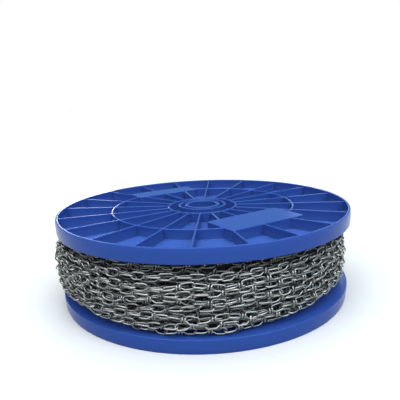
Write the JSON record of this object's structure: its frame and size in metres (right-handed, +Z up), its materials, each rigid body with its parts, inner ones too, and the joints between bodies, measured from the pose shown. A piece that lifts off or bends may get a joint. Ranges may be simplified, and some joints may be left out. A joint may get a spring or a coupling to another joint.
{
  "type": "reel of knotted steel chain",
  "caption": "Full reel of fine knotted steel chain, wound between two ribbed plastic flanges with a bore for a spindle.",
  "frame": {"origin": "on the reel's axis, at the level of the face that it lies on", "axes": "+Z up along the reel's axis; -Y towards the side that the picture shows in front"},
  "size_m": [0.3, 0.3, 0.09],
  "materials": {
    "blue_plastic": "moulded, semi gloss",
    "barrel_plastic": "plain extruded, matt",
    "zinc_steel": "zinc plated drawn wire"
  },
  "bodies": {
    "root": {"flange_top": "blue_plastic", "flange_bottom": "blue_plastic", "barrel": "barrel_plastic", "chain_winding": "zinc_steel"}
  },
  "joints": []
}
